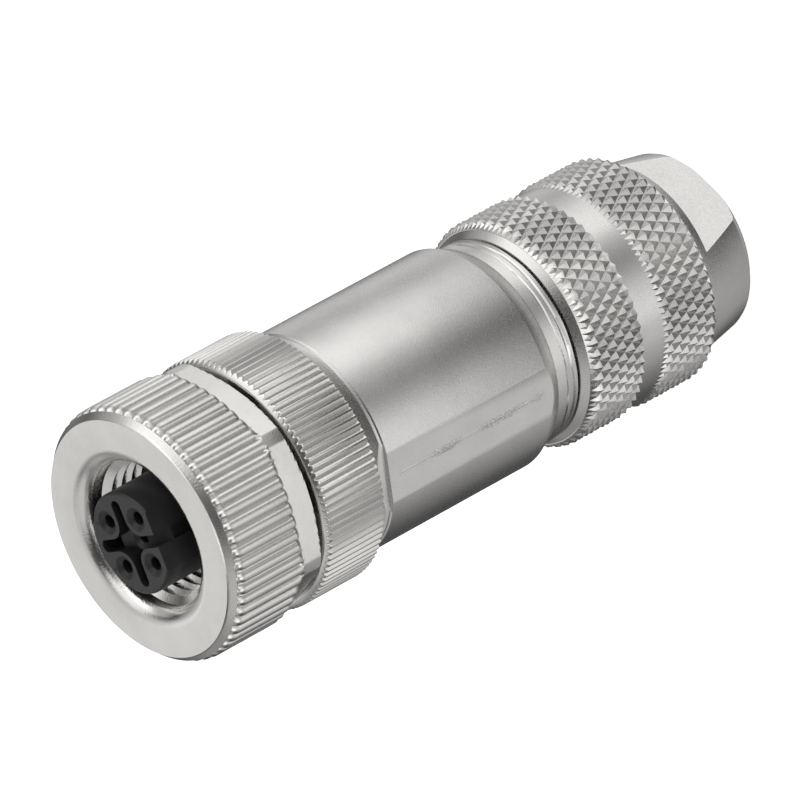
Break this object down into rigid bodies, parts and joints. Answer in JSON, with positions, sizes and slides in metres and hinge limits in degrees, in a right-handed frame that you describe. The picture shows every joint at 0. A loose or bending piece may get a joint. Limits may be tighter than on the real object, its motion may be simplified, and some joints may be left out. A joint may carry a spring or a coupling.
{
  "type": "m12 cable connector",
  "caption": "Field-wireable shielded M12 cable connector with sockets, metal coupling nut, wrench-flat sleeve and diamond-knurled gland nut.",
  "frame": {"origin": "centre of the flat rear end face that the connector stands on", "axes": "+Z along the connector axis towards the mating end; the keyway of the contact insert faces -Y"},
  "size_m": [0.0208, 0.0208, 0.0586],
  "materials": {
    "nickel_turned": "bright nickel plating on turned brass",
    "nickel_cast": "satin nickel plating on a die casting",
    "nickel_knurled": "nickel plating over knurled brass",
    "spring_steel": "plain spring steel",
    "screw_steel": "zinc-plated steel",
    "contact_gold": "gold-plated brass",
    "insert_plastic": "black moulded polyamide",
    "block_plastic": "black moulded polyamide",
    "cage_plastic": "grey moulded polyamide",
    "seal_rubber": "black elastomer"
  },
  "bodies": {
    "front_assembly": {"front_body": "nickel_turned", "contact_carrier": "insert_plastic", "front_seal": "seal_rubber", "body_seal": "seal_rubber", "terminal_block": "block_plastic", "socket_contact_1": "contact_gold", "socket_contact_2": "contact_gold", "socket_contact_3": "contact_gold", "socket_contact_4": "contact_gold", "socket_contact_5": "contact_gold"},
    "snap_ring": {"snap_ring": "spring_steel"},
    "coupling_nut": {"coupling_nut": "nickel_turned"},
    "seal_stack": {"shield_ring": "spring_steel", "cable_seal": "seal_rubber"},
    "sleeve": {"sleeve": "nickel_cast"},
    "clamping_cage": {"thrust_washer": "insert_plastic", "clamping_cage": "cage_plastic"},
    "gland_nut": {"gland_nut": "nickel_knurled"},
    "terminal_screw_1": {"terminal_screw_1": "screw_steel"},
    "terminal_screw_2": {"terminal_screw_2": "screw_steel"},
    "terminal_screw_3": {"terminal_screw_3": "screw_steel"},
    "terminal_screw_4": {"terminal_screw_4": "screw_steel"},
    "terminal_screw_5": {"terminal_screw_5": "screw_steel"}
  },
  "joints": [
    {"name": "coupling_nut_play", "type": "slide", "parent": "front_assembly", "child": "snap_ring", "axis": [0, 0, 1], "range_m": [0, 0.0005]},
    {"name": "coupling_nut_spin", "type": "hinge", "parent": "snap_ring", "child": "coupling_nut", "pos_m": [0, 0, 0.0538], "axis": [0, 0, 1], "continuous": true},
    {"name": "sleeve_advance", "type": "slide", "parent": "front_assembly", "child": "seal_stack", "axis": [0, 0, -1], "range_m": [0, 0.005]},
    {"name": "sleeve_turn", "type": "hinge", "parent": "seal_stack", "child": "sleeve", "pos_m": [0, 0, 0.0328], "axis": [0, 0, -1], "range_deg": [0, 1800]},
    {"name": "gland_nut_advance", "type": "slide", "parent": "sleeve", "child": "clamping_cage", "axis": [0, 0, -1], "range_m": [0, 0.006]},
    {"name": "gland_nut_turn", "type": "hinge", "parent": "clamping_cage", "child": "gland_nut", "pos_m": [0, 0, 0.0098], "axis": [0, 0, -1], "range_deg": [0, 2160]},
    {"name": "terminal_screw_1_travel", "type": "slide", "parent": "front_assembly", "child": "terminal_screw_1", "axis": [0.7071, -0.7071, 0], "range_m": [0, 0.0005]},
    {"name": "terminal_screw_2_travel", "type": "slide", "parent": "front_assembly", "child": "terminal_screw_2", "axis": [0.8192, 0.5736, 0], "range_m": [0, 0.0005]},
    {"name": "terminal_screw_3_travel", "type": "slide", "parent": "front_assembly", "child": "terminal_screw_3", "axis": [-0.8192, 0.5736, 0], "range_m": [0, 0.0005]},
    {"name": "terminal_screw_4_travel", "type": "slide", "parent": "front_assembly", "child": "terminal_screw_4", "axis": [-0.7071, -0.7071, 0], "range_m": [0, 0.0005]},
    {"name": "terminal_screw_5_travel", "type": "slide", "parent": "front_assembly", "child": "terminal_screw_5", "axis": [0, 1, 0], "range_m": [0, 0.0005]}
  ],
  "couplings": [
    {"joint": "sleeve_turn", "follows": "sleeve_advance", "rad_per_m": 6283.2},
    {"joint": "gland_nut_turn", "follows": "gland_nut_advance", "rad_per_m": 6283.2}
  ]
}
